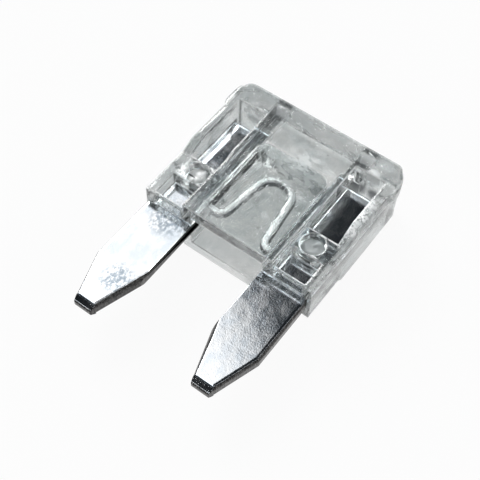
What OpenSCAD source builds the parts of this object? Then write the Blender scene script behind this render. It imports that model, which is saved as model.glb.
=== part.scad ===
// Miniature automotive blade fuse with a clear housing.
// It lies on its back face: x runs across the blades, y from the blade tips to the head,
// z up through the thickness. The origin is under the middle of the whole fuse.

/* [Blades] */
// Width of each blade
blade_w = 2.8; // [2.4:0.05:3.2]
// Thickness of the zinc strip
blade_t = 0.8; // [0.6:0.05:1]
// Distance between the middle lines of the two blades
blade_pitch = 7.17; // [6.8:0.01:7.6]
// Length of blade that stands out of the housing
blade_out = 6.75; // [5.5:0.05:8]
// Length of the taper on a blade's outer and inner edge
tip_l = 2.75; // [2:0.05:3.5]
// Width of the blunt end of a blade
tip_w = 1.0; // [0.6:0.05:1.4]
// Length of the coined bevel at the blunt end
tip_bevel_l = 0.4; // [0.2:0.05:0.8]
// Thickness left at the blunt end
tip_t = 0.36; // [0.2:0.02:0.5]
// Height of the terminal inside the housing
terminal_h = 7.0; // [6.4:0.05:7.2]
// How far the terminal's outer edge is set in from the blade's
shoulder_w = 0.3; // [0.1:0.05:0.5]
// Length of the bevel at the terminal's upper end
terminal_bevel_l = 0.2; // [0.1:0.05:0.4]

/* [Fuse link] */
// Width of the link strip
link_w = 0.48; // [0.4:0.02:0.7]
// Thickness of the link strip
link_t = 0.48; // [0.3:0.02:0.7]
// Height of the link's root on the left blade
link_root_left = 1.5; // [1.1:0.02:1.8]
// Height of the link's root on the right blade
link_root_right = 1.2; // [0.9:0.02:1.4]
// Radius of the arch's middle line
arch_r = 1; // [0.8:0.01:1.05]
// Height of the arch's centre
arch_y = 4; // [3.7:0.01:4.1]
// Sideways place of the arch's centre
arch_x = -0.02; // [-0.2:0.02:0.2]
// Radius of the two lower bends at the middle line
bend_r = 0.42; // [0.34:0.01:0.5]
// Distance from a blade's inner edge to the centre of the nearest bend
bend_in = 0.46; // [0.34:0.02:0.5]

/* [Housing] */
// Height of the housing
body_h = 8.85; // [8.3:0.05:9.4]
// Thickness of the housing
body_t = 3.5; // [3.2:0.05:3.8]
// Wall outside each terminal at the open end
side_wall = 0.38; // [0.25:0.01:0.5]
// How much further out each side stands under the head
side_draft = 0.03; // [0:0.01:0.1]
// Rounding of the long edges
edge_r = 0.3; // [0.15:0.01:0.4]
// Corner radius of the housing behind the head's lip
corner_r = 1.0; // [0.6:0.05:1.4]
// Thickness of the lower part on each side of the middle
flank_t = 2.4; // [2.2:0.05:2.8]
// Height up to which the flanks stay thin at the front
front_flank_h = 3.0; // [2.6:0.05:3.2]
// Height over which they slope out to full thickness at the front
front_slope_h = 1.25; // [0.8:0.05:1.6]
// Height up to which the flanks stay thin at the back
back_flank_h = 2.7; // [2.4:0.05:3.2]
// Height over which they slope out to full thickness at the back
back_slope_h = 0.5; // [0.3:0.05:1.6]

/* [Head lip] */
// How far the lip stands out on each side
lip_w = 0.2; // [0.1:0.01:0.3]
// Depth of the lip from the front face
lip_t = 0.9; // [0.5:0.05:1.4]
// Height of the lip
lip_h = 1.65; // [1.5:0.05:1.8]
// Height of the slope under the lip
lip_slope_h = 0.15; // [0.1:0.01:0.3]
// Corner radius of the lip
lip_r = 1.4; // [1:0.05:1.45]
// Distance of the left corner's notch from the lip's side
notch_x = 0.58; // [0.5:0.02:0.7]
// Distance of the left corner's notch from the head's top
notch_y = 0.68; // [0.55:0.02:0.8]

/* [Hollows] */
// Front wall over the link
front_wall = 0.75; // [0.6:0.05:0.9]
// Back wall behind the link
back_wall = 0.65; // [0.6:0.05:0.9]
// Height of the hollow round the link
hollow_h = 6.1; // [5.6:0.05:6.6]
// Corner radius at the hollow's upper end
hollow_r = 0.6; // [0.3:0.05:1]
// Clearance round the terminals in their slots
slot_gap = 0.03; // [0.02:0.01:0.05]
// Distance of a window from the terminal's inner edge
window_in = 0.65; // [0.5:0.05:0.8]
// Ledge between a window and the terminal's outer edge
window_out = 0.1; // [0.05:0.01:0.2]
// Height of the windows' upper end
window_top = 7.3; // [7.1:0.05:7.6]
// Height of the windows' lower end
window_low = 0.2; // [0.15:0.05:0.5]
// Distance of the thick middle's sides from the windows
middle_rim = 0.1; // [0.05:0.01:0.2]
// Width of a probe opening in the head
probe_w = 0.9; // [0.7:0.05:1.1]
// Thickness of a probe opening
probe_t = 0.9; // [0.7:0.05:1]
// Distance of a probe opening from the terminal's inner edge
probe_in = 0.12; // [0:0.02:0.3]

/* [Stakes] */
// Height of the stakes
stake_y = 2.35; // [2.2:0.01:2.6]
// Diameter of the hole through each terminal
stake_hole_d = 1.2; // [1:0.02:1.3]
// Clearance round a stake in its hole
stake_gap = 0.03; // [0.02:0.01:0.06]
// Diameter of the dent that the staking tool leaves
dent_d = 1.3; // [1.1:0.02:1.4]
// Plastic left between a dent and the terminal
dent_floor = 0.3; // [0.2:0.01:0.4]
// Plastic left between a dent and the windows above and below it
dent_rim = 0.06; // [0.04:0.01:0.2]

/* [Hidden] */
$fn = 64;
cut = 1;
half_t = body_t / 2;
blade_x = blade_pitch / 2;
inner_edge = blade_x - blade_w / 2;
outer_edge = blade_x + blade_w / 2 - shoulder_w;
total_l = body_h + blade_out;
body_y = blade_out - total_l / 2;
slot_t = blade_t + 2 * slot_gap;
half_w_low = outer_edge + slot_gap + side_wall;
half_w_top = half_w_low + side_draft;
lip_hw = half_w_top + lip_w;
lip_y = body_h - lip_h;
window_x0 = inner_edge + window_in;
window_x1 = outer_edge - window_out;
lower_window_top = stake_y - dent_d / 2 - dent_rim;
upper_window_low = stake_y + dent_d / 2 + dent_rim;
dent_z = slot_t / 2 + dent_floor;
stake_d = stake_hole_d - 2 * stake_gap;
arc_steps = 16;

// Places a shape drawn from the housing's open end and the blades' middle plane
module in_place() {
  translate([0, body_y, half_t])
    children();
}

// Repeats a shape on the left and on the right
module both_sides() {
  children();
  mirror([1, 0, 0])
    children();
}

// Repeats a shape at the front and at the back
module both_faces() {
  children();
  mirror([0, 0, 1])
    children();
}

// Flat rectangle with round corners
module round_rect(w, h, r) {
  square([w - 2 * r, h], center = true);
  square([w, h - 2 * r], center = true);
  for (x = [-1, 1])
    for (y = [-1, 1])
      translate([x * (w / 2 - r), y * (h / 2 - r)])
        circle(r);
}

// Plate seen from the front, as thick as the housing
module front_plate() {
  translate([0, 0, -half_t])
    linear_extrude(body_t)
      children();
}

// Bar along y with a flat shape as its section
module along_y(y0, y1) {
  translate([0, y1, 0])
    rotate([90, 0, 0])
      linear_extrude(y1 - y0)
        children();
}

// Bar along x with a section drawn in y and z
module along_x(x0, x1) {
  translate([x0, 0, 0])
    rotate([90, 0, 90])
      linear_extrude(x1 - x0)
        children();
}

// Rounds the long edges of a shape of a half width
module rounded_sides(hw) {
  intersection() {
    children();
    along_y(0, body_h)
      round_rect(2 * hw, body_t, edge_r);
  }
}

// Rounds the edges along the head's top
module rounded_top() {
  intersection() {
    children();
    along_x(-lip_hw, lip_hw)
      round_rect(2 * body_h, body_t, edge_r);
  }
}

// Outline with two round corners at the head's top
module top_corners(hw, y0, r) {
  translate([-hw, y0])
    square([2 * hw, body_h - r - y0]);
  translate([r - hw, y0])
    square([2 * (hw - r), body_h - y0]);
  both_sides()
    translate([hw - r, body_h - r])
      circle(r);
}

// Housing without its lip and hollows, with sides that draw in towards the open end
module block() {
  rounded_sides(half_w_top)
    front_plate()
      intersection() {
        top_corners(half_w_top, 0, corner_r);
        polygon([
          [-half_w_low, 0],
          [half_w_low, 0],
          [half_w_top, lip_y],
          [lip_hw, body_h + cut],
          [-lip_hw, body_h + cut],
          [-half_w_top, lip_y]
        ]);
      }
}

// Lip round the head's front, with a small notch in its left corner
module lip() {
  slope_y = lip_y + lip_slope_h;
  rounded_sides(lip_hw)
    translate([0, 0, half_t - lip_t])
      linear_extrude(lip_t)
        difference() {
          union() {
            top_corners(lip_hw, slope_y, lip_r);
            polygon([
              [-half_w_top, lip_y],
              [half_w_top, lip_y],
              [lip_hw, slope_y],
              [-lip_hw, slope_y]
            ]);
          }
          translate([-lip_hw - cut, body_h - notch_y])
            square([cut + notch_x, notch_y + cut]);
        }
}

// What is cut from the front of both flanks; its mirror image is cut from the back
module flank_cuts(flank_h, slope_h) {
  both_sides()
    along_x(window_x0 - middle_rim, lip_hw + cut)
      polygon([
        [-cut, flank_t / 2],
        [flank_h, flank_t / 2],
        [flank_h + slope_h, half_t],
        [flank_h + slope_h, half_t + cut],
        [-cut, half_t + cut]
      ]);
}

// Hollow round the link, open at the lower end
module hollow() {
  hollow_t = body_t - front_wall - back_wall;
  translate([0, 0, -half_t + back_wall])
    linear_extrude(hollow_t)
      union() {
        translate([-inner_edge, -cut])
          square([2 * inner_edge, hollow_h + cut - hollow_r]);
        translate([-inner_edge + hollow_r, 0])
          square([2 * (inner_edge - hollow_r), hollow_h]);
        both_sides()
          translate([inner_edge - hollow_r, hollow_h - hollow_r])
            circle(hollow_r);
      }
}

// Slot that a terminal sits in, open to the hollow
module terminal_slot() {
  slot_w = outer_edge - inner_edge + 2 * slot_gap;
  translate([inner_edge - slot_gap, -cut, -slot_t / 2])
    cube([slot_w, cut + terminal_h + slot_gap, slot_t]);
}

// One window, cut through to the slot
module window(y0, y1) {
  translate([window_x0, y0, 0])
    cube([window_x1 - window_x0, y1 - y0, half_t + cut]);
}

// Opening in the head for a test probe
module probe_opening() {
  translate([inner_edge + probe_in, terminal_h, -probe_t / 2])
    cube([probe_w, body_h - terminal_h + cut, probe_t]);
}

// Dent in the front over a stake
module dent() {
  translate([blade_x, stake_y, dent_z])
    cylinder(d = dent_d, h = half_t);
}

// Plastic pressed through the hole of a terminal
module stake() {
  translate([blade_x, stake_y, 0])
    cylinder(d = stake_d, h = slot_t + dent_floor, center = true);
}

module housing() {
  color([0.86, 0.9, 0.9, 0.35])
    in_place() {
      difference() {
        rounded_top()
          union() {
            block();
            lip();
          }
        flank_cuts(front_flank_h, front_slope_h);
        mirror([0, 0, 1])
          flank_cuts(back_flank_h, back_slope_h);
        hollow();
        both_sides() {
          terminal_slot();
          probe_opening();
          both_faces() {
            window(window_low, lower_window_top);
            window(upper_window_low, window_top);
            dent();
          }
        }
      }
      both_sides()
        stake();
    }
}

// Outline of one blade, with a shoulder under the terminal above it
module blade_outline() {
  terminal_edge = blade_w / 2 - shoulder_w;
  polygon([
    [-tip_w / 2, -blade_out],
    [tip_w / 2, -blade_out],
    [blade_w / 2, -blade_out + tip_l],
    [blade_w / 2, -slot_gap],
    [terminal_edge, -slot_gap],
    [terminal_edge, terminal_h],
    [-blade_w / 2, terminal_h],
    [-blade_w / 2, -blade_out + tip_l]
  ]);
}

// One blade with its terminal, thinned at both ends
module blade() {
  translate([blade_x, 0, 0])
    difference() {
      intersection() {
        translate([0, 0, -blade_t / 2])
          linear_extrude(blade_t)
            blade_outline();
        along_x(-blade_w, blade_w)
          polygon([
            [-blade_out, -tip_t / 2],
            [-blade_out + tip_bevel_l, -blade_t / 2],
            [terminal_h - terminal_bevel_l, -blade_t / 2],
            [terminal_h, -tip_t / 2],
            [terminal_h, tip_t / 2],
            [terminal_h - terminal_bevel_l, blade_t / 2],
            [-blade_out + tip_bevel_l, blade_t / 2],
            [-blade_out, tip_t / 2]
          ]);
      }
      translate([0, stake_y, 0])
        cylinder(d = stake_hole_d, h = blade_t + cut, center = true);
    }
}

// Points along an arc from angle a0 to a1 about c
function arc_points(c, r, a0, a1) =
  [for (i = [0:arc_steps]) let (a = a0 + (a1 - a0) * i / arc_steps) c + r * [cos(a), sin(a)]];

function mirrored(points) = [for (p = points) [-p[0], p[1]]];

function reversed(points) = [for (i = [len(points) - 1:-1:0]) points[i]];

function all_but_last(points) = [for (i = [0:len(points) - 2]) points[i]];

// One edge of the link's left half, a distance to the left of its middle line: from inside
// the blade through the bend and up the leg, which touches both arcs, to the arch's top
function half_edge(root_y, top_x, side) =
  let (
    bend_c = [-inner_edge + bend_in, root_y + bend_r],
    arch_c = [top_x, arch_y],
    d = arch_c - bend_c,
    heading = atan2(d[1], d[0]) + asin((arch_r + bend_r) / norm(d))
  )
  concat(
    [[-inner_edge - link_w, root_y + side]],
    arc_points(bend_c, bend_r - side, -90, heading - 90),
    arc_points(arch_c, arch_r + side, heading + 90, 90)
  );

// One edge of the whole link, from the left blade to the right one
function link_edge(side) =
  concat(
    half_edge(link_root_left, arch_x, side),
    reversed(mirrored(all_but_last(half_edge(link_root_right, -arch_x, side))))
  );

// Link between the two blades, stamped from the same strip and thinned
module link() {
  translate([0, 0, -link_t / 2])
    linear_extrude(link_t)
      polygon(concat(link_edge(link_w / 2), reversed(link_edge(-link_w / 2))));
}

module fuse_element() {
  color([0.78, 0.8, 0.83])
    in_place() {
      both_sides()
        blade();
      link();
    }
}

housing();
fuse_element();
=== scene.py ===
"""Looks of a miniature blade fuse with a clear housing, lying on a pale floor.

Lengths and places are in mm, in the frame's own axes, and MM turns them into metres.
"""
import math

import bmesh
import bpy
from mathutils import Euler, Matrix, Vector
from mathutils import noise as field


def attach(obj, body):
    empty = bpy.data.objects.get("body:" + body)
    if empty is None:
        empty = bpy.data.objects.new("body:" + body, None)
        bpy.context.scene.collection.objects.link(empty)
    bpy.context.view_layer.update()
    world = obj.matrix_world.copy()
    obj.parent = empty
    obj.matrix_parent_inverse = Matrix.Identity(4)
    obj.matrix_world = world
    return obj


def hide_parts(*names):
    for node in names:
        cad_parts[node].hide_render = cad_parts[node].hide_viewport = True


MM = 0.001

# Camera, fitted to the photograph
CAMERA_AT = Vector((15.96, -22.31, 43.17)) * MM
CAMERA_TURN = Euler([math.radians(a) for a in (33.41, -0.84, 36.67)])
CAMERA_LENS = 73.6
SENSOR_WIDTH = 36
NEAREST_SEEN = 0.001
FURTHEST_SEEN = 10

# Room: the direction of its dark side, the strengths of its light window, of the window's deeper
# part and of its dim rest, and a small lamp in the sky
DARK_SIDE = (0.787, 1, -0.219)
BRIGHT = 1.35
DEEP = 2.2
DIM = 0.02
SKY_LAMP = 15
SKY_LAMP_AT = (-0.74, 0.42, 0.52)
ROOM_COLOUR = (0.8, 0.9, 1)
WINDOW_COLOUR = (1, 1, 1)
FRONT_LAMP_AT = (-33, -92, 46)
FRONT_LAMP_SIZE = (16, 16)
FRONT_LAMP_POWER = 0.02

# Floor: its half width in metres, its grey, and how white it shows directly and through plastic
FLOOR_HALF = 0.6
FLOOR_COLOUR = (0.5, 0.5, 0.5, 1)
FLOOR_GLOW = 0.94
GLOW_THROUGH = 0.5

# Edges sharper than SHARP are rounded, each kind by its own width
SHARP = math.radians(20)
BLADE_EDGE = 0.24
TIP_EDGE = 0.09
LINK_EDGE = 0.2
HOLE_EDGE = 0.03
MOULD_EDGE = 0.2
MOULD_BEVEL = 0.002
BEVEL_SEGMENTS = 4
WELD = 0.001
FLAT = math.radians(1)

# Places on the zinc strip: half the span of the link, the start of the blades' blunt ends, the end
# of the terminals' straight edges, just over the hole's radius and just under the thickness
LINK_HALF_SPAN = 2.17
TIP_Y = -7.3
TERMINAL_TOP = 5.7
HOLE_R = 0.62
STRIP_T = 0.79

# Stakes and the mounds of pressed plastic over them
STAKE_X = 3.585
STAKE_Y = 1.3
MIDDLE_Z = 1.75
DENT_FLOOR = 0.73
MOUND_R = 0.62
MOUND_H = 0.26
MOUND_LIFT = 0.01
MOUND_FOOT = 0.004
MOUND_WELD = 0.0005
MOUND_SHOULDER = 5
LUMP_H = 0.16
LUMPS_PER_MM = 2.2
CRUMBS_PER_MM = 6
CRUMB_SHARE = 0.4
RINGS = 14
SPOKES = 48
SEED_STEP = 3.7

# Colours, where two are given from one end of their noise to the other
# The lower tint is darker than the upper: painted shade, standing for the shadowed floor seen
# through the back of the housing
SHADED_LOWER_TINT = ((0.60, 0.65, 0.65), (0.80, 0.825, 0.815))
UPPER_TINT = ((0.73, 0.775, 0.775), (0.90, 0.915, 0.905))
TINT_LOW_Z = 0.8
TINT_HIGH_Z = 2.6
# Painted shade: a near-black tint for the plastic in the probe openings, at the window tops and in
# a slit by the left stake
PAINTED_SHADE_TINT = (0.04, 0.045, 0.05)
# Painted highlight: near-white for the plastic's edges and white spots, standing for glints; by the
# left stake partly real whitened cracks
WHITE_AND_HIGHLIGHT = (0.95, 0.96, 0.955)
CLEAN_ZINC = ((0.66, 0.71, 0.76), (0.86, 0.875, 0.89))
CUT_ZINC = ((0.015, 0.015, 0.015), (0.16, 0.155, 0.15))
# The link's colours, side to top: the dark sides are partly sheared-edge grey and partly painted
# shade that outlines the link
LINK_ZINC_AND_SIDE_SHADE = ((0.10, 0.11, 0.12), (0.99, 0.99, 0.99))
DULL_ZINC = (0.30, 0.35, 0.40)
# Painted glint: near-white for the raised flakes on the plastic
GLINT_COLOUR = (0.96, 0.97, 0.965)
SPECK_COLOUR = (0.06, 0.06, 0.065)

# Spots in the materials, each a place and a reach
DULL_SPOTS = (((-3.3, -1.4, 2.15), 1.5), ((-3.2, -5.7, 2.15), 1.3))
# White spots: the first two, by the left stake, are partly whitened cracks and partly painted
# highlight; the rest are painted highlights at the window tops, the right side and the terminals'
# sides
WHITE_CRACKS_AND_GLINTS = (
    ((-3.6, 2.0, 2.9), 0.6),
    ((-4.2, 1.0, 2.9), 0.7),
    ((-3.3, 6.3, 3.1), 0.6),
    ((3.5, 6.3, 3.1), 0.6),
    ((4.75, 2.9, 3.3), 0.6),
    ((4.75, 3.8, 3.3), 0.6),
    ((4.75, 4.7, 3.3), 0.55),
    ((-2.4, 1.9, 2.8), 0.45),
    ((-2.4, 3.0, 2.8), 0.45),
    ((-2.4, 4.2, 2.8), 0.45),
    ((2.4, 1.6, 2.8), 0.45),
    ((2.4, 2.8, 2.8), 0.45),
)
MILKY_SPOTS = (
    ((0.6, 4.9, 1.9), 2.6),
    ((-3.7, 6.3, 2.9), 0.9),
    ((3.8, 6.3, 3.1), 0.8),
    ((4.5, 4.4, 3.0), 1.1),
    ((4.6, 3.2, 2.9), 1.1),
)
# Painted shade: spots in the probe openings, at the tops of the windows and, the last two, in a
# slit by the left stake
PAINTED_SHADE_SPOTS = (
    ((-2.75, 7.1, 1.75), 1.3),
    ((2.75, 6.9, 1.75), 1.3),
    ((3.2, 6.2, 2.0), 0.7),
    ((4.1, 6.2, 2.0), 0.7),
    ((-2.9, 6.2, 2.0), 0.6),
    ((-3.4, 1.07, 2.95), 0.22),
    ((-3.75, 1.04, 2.95), 0.2),
)
SPOT_CORE = 0.3

# Slivers on the plastic: x and y of one end, x and y of the other, height and half width
# Raised flakes of plastic on the dents' rims and the head's top edge, their white a painted glint
GLINT_FLAKES = (
    (3.5, 1.97, 4.0, 1.93, 2.96, 0.07),
    (4.05, 1.7, 4.3, 1.36, 2.96, 0.08),
    (2.87, 0.66, 3.2, 0.63, 2.96, 0.05),
    (3.75, 0.66, 4.3, 0.7, 2.96, 0.06),
    (-3.25, 2.0, -2.8, 1.72, 2.96, 0.07),
    (-2.95, 1.6, -2.82, 1.98, 2.96, 0.07),
    (-3.3, 0.68, -2.85, 0.72, 2.96, 0.05),
    (-4.44, 1.32, -4.2, 0.75, 2.96, 0.09),
    (-4.3, 1.75, -3.8, 1.96, 2.96, 0.06),
    (0.02, 7.38, 0.28, 7.3, 3.48, 0.06),
    (-1.3, 6.76, -0.9, 6.73, 3.49, 0.03),
    (-0.98, 7.45, -0.6, 7.46, 3.48, 0.04),
    (0.4, 7.44, 0.95, 7.46, 3.48, 0.04),
    (2.8, 7.42, 3.35, 7.25, 3.48, 0.06),
    (3.77, 7.1, 4.0, 6.95, 3.48, 0.07),
    (0.45, 4.54, 0.56, 4.5, 3.5, 0.05),
    (-2.7, 7.14, -2.2, 7.22, 3.48, 0.08),
    (2.15, 7.3, 2.35, 7.0, 3.48, 0.04),
)
DARK_SPECKS = (
    (0.0, 4.95, 0.37, 4.66, 3.495, 0.018),
    (0.58, 4.55, 0.8, 4.54, 3.495, 0.025),
    (0.85, 4.55, 1.2, 4.64, 3.495, 0.018),
    (1.25, 5.93, 1.33, 5.97, 3.495, 0.03),
    (1.35, 6.27, 1.42, 6.3, 3.495, 0.025),
    (-4.0, 1.0, -3.45, 0.98, 2.96, 0.06),
)
SLIVER_WIDEST = 0.4
SLIVER_T = 0.05

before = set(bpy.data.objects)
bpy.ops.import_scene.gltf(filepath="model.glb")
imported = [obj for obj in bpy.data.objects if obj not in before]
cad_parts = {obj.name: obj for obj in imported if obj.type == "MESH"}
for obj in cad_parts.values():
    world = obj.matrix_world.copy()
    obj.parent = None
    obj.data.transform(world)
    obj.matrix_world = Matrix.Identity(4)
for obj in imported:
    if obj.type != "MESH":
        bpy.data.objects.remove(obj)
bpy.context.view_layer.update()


def new_object(name, mesh):
    """An object with a mesh, in the scene."""
    piece = bpy.data.objects.new(name, mesh)
    bpy.context.scene.collection.objects.link(piece)
    return piece


def new_piece(name, verts, faces, material, smooth):
    """A piece from points in mm."""
    mesh = bpy.data.meshes.new(name)
    mesh.from_pydata([Vector(v) * MM for v in verts], [], faces)
    mesh.materials.append(material)
    for p in mesh.polygons:
        p.use_smooth = smooth
    return new_object(name, mesh)


def rounded_copy(node, name, width_at, clamp):
    """The CAD node's own shape with its sharp edges rounded.

    width_at gives the width for an edge's middle and length.
    """
    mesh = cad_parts[node].data.copy()
    mesh.name = name
    piece = new_object(name, mesh)
    bm = bmesh.new()
    bm.from_mesh(mesh)
    bmesh.ops.remove_doubles(bm, verts=bm.verts, dist=WELD * MM)
    bmesh.ops.dissolve_limit(bm, angle_limit=FLAT, verts=bm.verts, edges=bm.edges)
    weight = bm.edges.layers.float.new("bevel_weight_edge")
    widths = {}
    for edge in bm.edges:
        if edge.calc_face_angle(0) > SHARP:
            middle = (edge.verts[0].co + edge.verts[1].co) / 2
            widths[edge] = width_at(middle / MM, edge.calc_length() / MM)
    widest = max(widths.values())
    for edge, width in widths.items():
        edge[weight] = width / widest
    bm.to_mesh(mesh)
    bm.free()
    bevel = piece.modifiers.new("Bevel", "BEVEL")
    bevel.width = widest * MM
    bevel.segments = BEVEL_SEGMENTS
    bevel.limit_method = "WEIGHT"
    bevel.harden_normals = True
    bevel.use_clamp_overlap = clamp
    mesh.materials.clear()
    for p in mesh.polygons:
        p.use_smooth = True
    mesh.set_sharp_from_angle(angle=SHARP)
    return piece


def new_material(name):
    """An empty node material with a Principled shader on its output."""
    mat = bpy.data.materials.new(name)
    mat.use_nodes = True
    tree = mat.node_tree
    tree.nodes.clear()
    out = tree.nodes.new("ShaderNodeOutputMaterial")
    shader = tree.nodes.new("ShaderNodeBsdfPrincipled")
    tree.links.new(shader.outputs[0], out.inputs[0])
    return mat, tree, shader


def feed(tree, socket, value):
    """Gives a socket a number, a colour or another node's output."""
    if isinstance(value, bpy.types.NodeSocket):
        tree.links.new(value, socket)
    elif isinstance(value, tuple):
        socket.default_value = (*value, 1)
    else:
        socket.default_value = value


def noise(tree, size, detail=2, roughness=0.5):
    """A noise value whose blotches have about one size in mm, or one each along x, y and z."""
    sizes = size if isinstance(size, tuple) else (size, size, size)
    coords = tree.nodes.new("ShaderNodeTexCoord")
    mapping = tree.nodes.new("ShaderNodeMapping")
    mapping.inputs["Scale"].default_value = [1 / (s * MM) for s in sizes]
    tree.links.new(coords.outputs["Object"], mapping.inputs["Vector"])
    node = tree.nodes.new("ShaderNodeTexNoise")
    node.inputs["Scale"].default_value = 1
    node.inputs["Detail"].default_value = detail
    node.inputs["Roughness"].default_value = roughness
    tree.links.new(mapping.outputs["Vector"], node.inputs["Vector"])
    return node.outputs["Fac"]


def ramp(tree, value, low, high, to_low=0.0, to_high=1.0):
    """A value stretched from one range to another, and held at its ends."""
    node = tree.nodes.new("ShaderNodeMapRange")
    node.interpolation_type = "SMOOTHSTEP"
    names = ("Value", "From Min", "From Max", "To Min", "To Max")
    for name, given in zip(names, (value, low, high, to_low, to_high)):
        feed(tree, node.inputs[name], given)
    return node.outputs["Result"]


def math_node(tree, operation, a, b=0.0):
    """One math operation on one or two values."""
    node = tree.nodes.new("ShaderNodeMath")
    node.operation = operation
    feed(tree, node.inputs[0], a)
    feed(tree, node.inputs[1], b)
    return node.outputs[0]


def both(tree, a, b):
    """The product of two values."""
    return math_node(tree, "MULTIPLY", a, b)


def either(tree, a, b):
    """The larger of two values."""
    return math_node(tree, "MAXIMUM", a, b)


def mix_colour(tree, factor, a, b):
    """A colour between two others."""
    node = tree.nodes.new("ShaderNodeMix")
    node.data_type = "RGBA"
    sockets = {s.identifier: s for s in [*node.inputs, *node.outputs]}
    feed(tree, sockets["Factor_Float"], factor)
    feed(tree, sockets["A_Color"], a)
    feed(tree, sockets["B_Color"], b)
    return sockets["Result_Color"]


def bump(tree, height, depth, normal=None):
    """A bump whose height from 0 to 1 stands for a depth in mm."""
    node = tree.nodes.new("ShaderNodeBump")
    node.inputs["Distance"].default_value = depth * MM
    tree.links.new(height, node.inputs["Height"])
    if normal:
        tree.links.new(normal, node.inputs["Normal"])
    return node.outputs["Normal"]


def parts_of(tree, coordinate):
    """The x, y and z of a texture coordinate, such as Object or Normal."""
    coords = tree.nodes.new("ShaderNodeTexCoord")
    parts = tree.nodes.new("ShaderNodeSeparateXYZ")
    tree.links.new(coords.outputs[coordinate], parts.inputs[0])
    return parts.outputs


def compare(tree, operation, coordinate, other):
    """A texture coordinate's DISTANCE to a place, or its DOT_PRODUCT with a direction."""
    coords = tree.nodes.new("ShaderNodeTexCoord")
    node = tree.nodes.new("ShaderNodeVectorMath")
    node.operation = operation
    tree.links.new(coords.outputs[coordinate], node.inputs[0])
    if isinstance(other, bpy.types.NodeSocket):
        tree.links.new(other, node.inputs[1])
    else:
        node.inputs[1].default_value = other
    return node.outputs["Value"]


def spots(tree, places, most=1.0):
    """A value that is largest in the core of each spot and fades to 0 at its reach."""
    value = 0.0
    for at, reach in places:
        away = compare(tree, "DISTANCE", "Object", Vector(at) * MM)
        spot = ramp(tree, away, SPOT_CORE * reach * MM, reach * MM, most, 0)
        value = either(tree, spot, value)
    return value


def plastic_material(name, clear, smooth, worn):
    """Clear moulded plastic with hazy patches, fine scratches and pits, edges and spots painted
    white as highlights, painted shade in its openings and a darker painted-shade tint low down.

    clear is its transmission where it is cleanest, smooth and worn are its least and most rough.
    """
    mat, tree, shader = new_material(name)

    # A Bevel node rounds the mould's edges, and says where they are
    edges = tree.nodes.new("ShaderNodeBevel")
    edges.samples = 8
    edges.inputs["Radius"].default_value = MOULD_EDGE * MM
    bend = compare(tree, "DOT_PRODUCT", "Normal", edges.outputs["Normal"])
    edge_highlight = ramp(tree, math_node(tree, "ABSOLUTE", bend), 0.82, 0.97, 1, 0)
    # Painted highlights: the rounded edges and the white spots are whitened in broken lines,
    # standing for glints
    crackle = ramp(tree, noise(tree, 0.16, detail=3, roughness=0.7), 0.34, 0.54)
    white_and_highlight = both(tree, either(tree, edge_highlight, spots(tree, WHITE_CRACKS_AND_GLINTS)), crackle)

    haze = noise(tree, 1.6, detail=4, roughness=0.6)
    patchy = ramp(tree, haze, 0.35, 0.65)
    # Painted shade: the plastic is tinted darker low down than high up
    shaded_lower = mix_colour(tree, patchy, *SHADED_LOWER_TINT)
    upper = mix_colour(tree, patchy, *UPPER_TINT)
    rise = ramp(tree, parts_of(tree, "Object")["Z"], TINT_LOW_Z * MM, TINT_HIGH_Z * MM)
    tint = mix_colour(tree, rise, shaded_lower, upper)
    # Painted shade darkens the plastic in the probe openings, at the window tops and in a slit by
    # the left stake
    tint = mix_colour(tree, spots(tree, PAINTED_SHADE_SPOTS), tint, PAINTED_SHADE_TINT)
    tree.links.new(mix_colour(tree, white_and_highlight, tint, WHITE_AND_HIGHLIGHT), shader.inputs["Base Color"])

    swirls = ramp(tree, noise(tree, (0.9, 0.45, 0.9), detail=4, roughness=0.6), 0.36, 0.56)
    cloudy = both(tree, spots(tree, MILKY_SPOTS, 0.9), swirls)
    milk = either(tree, ramp(tree, noise(tree, 1.1), 0.5, 0.75, 0, 0.4), cloudy)
    transmission = ramp(tree, either(tree, white_and_highlight, milk), 0, 1, clear, 0.2)
    tree.links.new(transmission, shader.inputs["Transmission Weight"])
    shader.inputs["IOR"].default_value = 1.5
    tree.links.new(ramp(tree, haze, 0.4, 0.7, smooth, worn), shader.inputs["Roughness"])

    waves = bump(tree, noise(tree, 1.5, detail=1), 0.012, edges.outputs["Normal"])
    peel = bump(tree, noise(tree, 0.28, detail=3), 0.002, waves)
    lines = ramp(tree, noise(tree, (0.05, 1.4, 0.05), detail=3, roughness=0.6), 0.62, 0.68)
    scratches = bump(tree, lines, 0.004, peel)
    dots = ramp(tree, noise(tree, 0.09), 0.66, 0.74)
    pits = bump(tree, dots, -0.006, scratches)
    tree.links.new(pits, shader.inputs["Normal"])
    return mat


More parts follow.
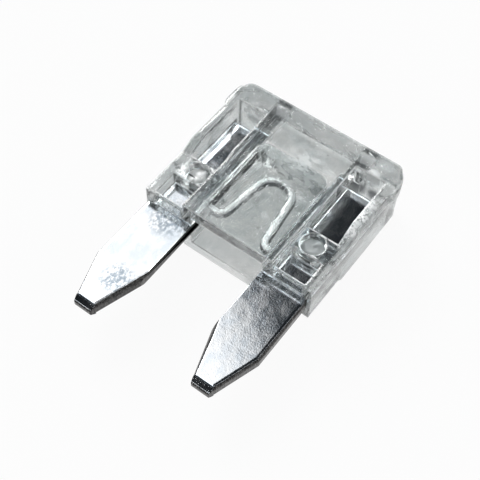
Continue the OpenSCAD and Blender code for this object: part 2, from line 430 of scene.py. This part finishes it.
def zinc_material():
    """Rolled zinc strip: mirror-like speckled faces, dark sheared edges, and a bright link whose
    sides are darkened, partly as sheared edges and partly as painted shade.
    """
    mat, tree, shader = new_material("bright zinc")
    across = math_node(tree, "ABSOLUTE", parts_of(tree, "Object")["X"])
    in_link = math_node(tree, "LESS_THAN", across, LINK_HALF_SPAN * MM)
    facing = math_node(tree, "ABSOLUTE", parts_of(tree, "Normal")["Z"])
    face = either(tree, ramp(tree, facing, 0.75, 0.95), in_link)
    patches = noise(tree, (0.9, 1.3, 0.9), detail=4, roughness=0.65)
    shear = noise(tree, (0.05, 0.05, 0.6), detail=4, roughness=0.7)

    clean = mix_colour(tree, ramp(tree, patches, 0.35, 0.65), *CLEAN_ZINC)
    cut = mix_colour(tree, ramp(tree, shear, 0.4, 0.7), *CUT_ZINC)
    speckle = ramp(tree, noise(tree, (0.13, 0.2, 0.13), detail=4, roughness=0.7), 0.38, 0.6)
    dull = both(tree, spots(tree, DULL_SPOTS), speckle)
    strip = mix_colour(tree, face, cut, mix_colour(tree, dull, clean, DULL_ZINC))
    # The link is darker on its sides than on its top: partly sheared-edge grey, partly painted
    # shade
    link = mix_colour(tree, ramp(tree, facing, 0.5, 0.85), *LINK_ZINC_AND_SIDE_SHADE)
    tree.links.new(mix_colour(tree, in_link, strip, link), shader.inputs["Base Color"])
    rolled = ramp(tree, patches, 0.3, 0.75, 0.09, 0.16)
    tree.links.new(ramp(tree, in_link, 0, 1, rolled, 0.25), shader.inputs["Roughness"])
    shader.inputs["Metallic"].default_value = 1

    crinkle = bump(tree, noise(tree, (0.6, 0.8, 0.6)), 0.005)
    grain = bump(tree, noise(tree, (0.08, 0.1, 0.08), roughness=0.6), 0.002, crinkle)
    cast = bump(tree, both(tree, noise(tree, 0.12, roughness=0.6), in_link), 0.07, grain)
    sheared = both(tree, shear, math_node(tree, "SUBTRACT", 1.0, face))
    tree.links.new(bump(tree, sheared, 0.03, cast), shader.inputs["Normal"])
    return mat


def mould_edge(at, length):
    """The housing's bevel, as fine as its mesh allows: its material rounds the edges further."""
    return MOULD_BEVEL


def housing():
    """The clear housing."""
    piece = rounded_copy("housing", "clear_housing", mould_edge, True)
    piece.data.materials.append(plastic_material("clear plastic", 0.97, 0.0, 0.05))
    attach(piece, "root")
    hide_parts("housing")


def zinc_edge(at, length):
    """Rounding of one of the strip's edges: the punch has drawn the blades' long edges round."""
    if abs(at.x) < LINK_HALF_SPAN:
        return LINK_EDGE
    if math.hypot(abs(at.x) - STAKE_X, at.y - STAKE_Y) < HOLE_R or length < STRIP_T:
        return HOLE_EDGE
    return BLADE_EDGE if TIP_Y < at.y < TERMINAL_TOP else TIP_EDGE


def fuse_element():
    """The two blades with their terminals, and the link between them."""
    piece = rounded_copy("fuse_element", "zinc_element", zinc_edge, False)
    piece.data.materials.append(zinc_material())
    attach(piece, "root")
    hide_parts("fuse_element")


def mound_height(dx, dy, share, seed):
    """Height of a mound over the dent's floor, at a share of the way from its middle to its rim."""
    lump = field.noise(Vector((dx * LUMPS_PER_MM, dy * LUMPS_PER_MM, seed)))
    crumb = field.noise(Vector((dx * CRUMBS_PER_MM, dy * CRUMBS_PER_MM, seed)))
    height = MOUND_H + LUMP_H * (lump + CRUMB_SHARE * crumb)
    return height * (1 - share ** MOUND_SHOULDER) + MOUND_LIFT


def pressed_stake(name, x, face, seed, material):
    """The lumpy disc of pressed plastic on a dent's floor, at the front (1) or the back (-1)."""
    turns = [2 * math.pi * j / SPOKES for j in range(SPOKES)]

    def point(dx, dy, height):
        return x + dx, STAKE_Y + dy, MIDDLE_Z + face * (DENT_FLOOR + height)

    verts = []
    for i in range(RINGS + 1):
        share = i / RINGS
        for turn in turns:
            dx, dy = MOUND_R * share * math.cos(turn), MOUND_R * share * math.sin(turn)
            verts.append(point(dx, dy, mound_height(dx, dy, share, seed)))
    verts += [point(MOUND_R * math.cos(t), MOUND_R * math.sin(t), MOUND_FOOT) for t in turns]
    faces = []
    for low in range(0, (RINGS + 1) * SPOKES, SPOKES):
        for j in range(SPOKES):
            k = (j + 1) % SPOKES
            faces.append((low + j, low + k, low + SPOKES + k, low + SPOKES + j))
    foot = (RINGS + 1) * SPOKES
    faces.append(tuple(range(foot, foot + SPOKES)))
    piece = new_piece(name, verts, faces, material, True)
    bm = bmesh.new()
    bm.from_mesh(piece.data)
    bmesh.ops.remove_doubles(bm, verts=bm.verts, dist=MOUND_WELD * MM)
    bmesh.ops.recalc_face_normals(bm, faces=bm.faces)
    bm.to_mesh(piece.data)
    bm.free()
    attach(piece, "root")


def slivers(name, places, colour, roughness):
    """Small tapered flakes on the plastic's surface."""
    mat, tree, shader = new_material(name)
    shader.inputs["Base Color"].default_value = (*colour, 1)
    rough = ramp(tree, noise(tree, 0.1), 0.3, 0.7, 0.5 * roughness, roughness)
    tree.links.new(rough, shader.inputs["Roughness"])
    verts = []
    faces = []
    for ax, ay, bx, by, z, width in places:
        start, end = Vector((ax, ay, z)), Vector((bx, by, z))
        across = (end - start).cross(Vector((0, 0, 1))).normalized() * width
        middle = start.lerp(end, SLIVER_WIDEST)
        up = Vector((0, 0, min(SLIVER_T, width)))
        low = len(verts)
        verts += [start, end, middle + across, middle + up, middle - across, middle - up]
        for i in range(4):
            one, two = low + 2 + i, low + 2 + (i + 1) % 4
            faces += [(low, two, one), (low + 1, one, two)]
    piece = new_piece(name, verts, faces, mat, False)
    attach(piece, "root")


def floor():
    """A wide pale floor that shows white to the camera and keeps the object's shadow."""
    mesh = bpy.data.meshes.new("floor")
    corners = [(FLOOR_HALF * x, FLOOR_HALF * y, 0) for x, y in ((-1, -1), (1, -1), (1, 1), (-1, 1))]
    mesh.from_pydata(corners, [], [(0, 1, 2, 3)])
    piece = new_object("floor", mesh)
    mat, tree, shader = new_material("pale floor")
    shader.inputs["Base Color"].default_value = FLOOR_COLOUR
    shader.inputs["Roughness"].default_value = 0.9
    shader.inputs["Specular IOR Level"].default_value = 0.1
    path = tree.nodes.new("ShaderNodeLightPath").outputs
    seen = either(tree, path["Is Camera Ray"], path["Is Glossy Ray"])
    seen = either(tree, seen, path["Is Transmission Ray"])
    most = ramp(tree, path["Is Transmission Ray"], 0, 1, FLOOR_GLOW, GLOW_THROUGH)
    glow = tree.nodes.new("ShaderNodeEmission")
    mixed = tree.nodes.new("ShaderNodeMixShader")
    tree.links.new(both(tree, seen, most), mixed.inputs[0])
    tree.links.new(shader.outputs[0], mixed.inputs[1])
    tree.links.new(glow.outputs[0], mixed.inputs[2])
    tree.links.new(mixed.outputs[0], tree.nodes["Material Output"].inputs["Surface"])
    mesh.materials.append(mat)


def front_lamp():
    """A softbox far in front of the blade tips, aimed at the fuse."""
    data = bpy.data.lights.new("front lamp", "AREA")
    data.shape = "RECTANGLE"
    data.size, data.size_y = (s * MM for s in FRONT_LAMP_SIZE)
    data.energy = FRONT_LAMP_POWER
    lamp = bpy.data.objects.new("front lamp", data)
    lamp.location = Vector(FRONT_LAMP_AT) * MM
    lamp.rotation_euler = (-lamp.location).to_track_quat("-Z", "Y").to_euler()
    bpy.context.scene.collection.objects.link(lamp)


def studio():
    """A wide soft window of light on the left that runs on low behind the head, brighter deep
    inside, with a dim room round it and a small lamp in the sky."""
    world = bpy.data.worlds.new("studio")
    world.use_nodes = True
    bpy.context.scene.world = world
    tree = world.node_tree
    sky = parts_of(tree, "Generated")
    side = compare(tree, "DOT_PRODUCT", "Generated", Vector(DARK_SIDE).normalized())
    low = ramp(tree, sky["Z"], 0.5, 0.66, 1, 0)
    behind_head = both(tree, low, ramp(tree, sky["Y"], 0.05, 0.3))
    back_half = ramp(tree, sky["Y"], -0.25, 0.15)
    limits = both(tree, back_half, ramp(tree, sky["Z"], 0.1, 0.3))
    left = ramp(tree, side, -0.036, 0.012, 1, 0)
    window = both(tree, either(tree, left, behind_head), limits)
    far_left = ramp(tree, side, -0.3, -0.1, 1, 0)
    deep = both(tree, either(tree, far_left, behind_head), limits)
    to_lamp = compare(tree, "DOT_PRODUCT", "Generated", Vector(SKY_LAMP_AT).normalized())
    lamp = ramp(tree, to_lamp, 0.97, 0.985, 0, SKY_LAMP)
    room = math_node(tree, "ADD", ramp(tree, window, 0, 1, DIM, BRIGHT), lamp)
    strength = math_node(tree, "ADD", room, both(tree, deep, DEEP))
    back = tree.nodes["Background"]
    colour = mix_colour(tree, window, ROOM_COLOUR, WINDOW_COLOUR)
    tree.links.new(colour, back.inputs["Color"])
    tree.links.new(strength, back.inputs["Strength"])


def camera():
    """The camera, at the photograph's angle."""
    data = bpy.data.cameras.new("camera")
    data.lens = CAMERA_LENS
    data.sensor_width = SENSOR_WIDTH
    data.clip_start = NEAREST_SEEN
    data.clip_end = FURTHEST_SEEN
    eye = bpy.data.objects.new("camera", data)
    eye.location = CAMERA_AT
    eye.rotation_euler = CAMERA_TURN
    bpy.context.scene.collection.objects.link(eye)
    bpy.context.scene.camera = eye


camera()
studio()
front_lamp()
floor()
housing()
fuse_element()
pressed = plastic_material("pressed plastic", 0.35, 0.15, 0.3)
for count, (side, face) in enumerate(((-1, 1), (1, 1), (-1, -1), (1, -1))):
    pressed_stake(f"pressed_stake_{count + 1}", side * STAKE_X, face, SEED_STEP * count, pressed)
# The white flakes are burrs whose white is a painted glint
slivers("glint_flakes", GLINT_FLAKES, GLINT_COLOUR, 0.4)
slivers("dark_specks", DARK_SPECKS, SPECK_COLOUR, 0.7)
bpy.context.scene.view_settings.view_transform = "Standard"
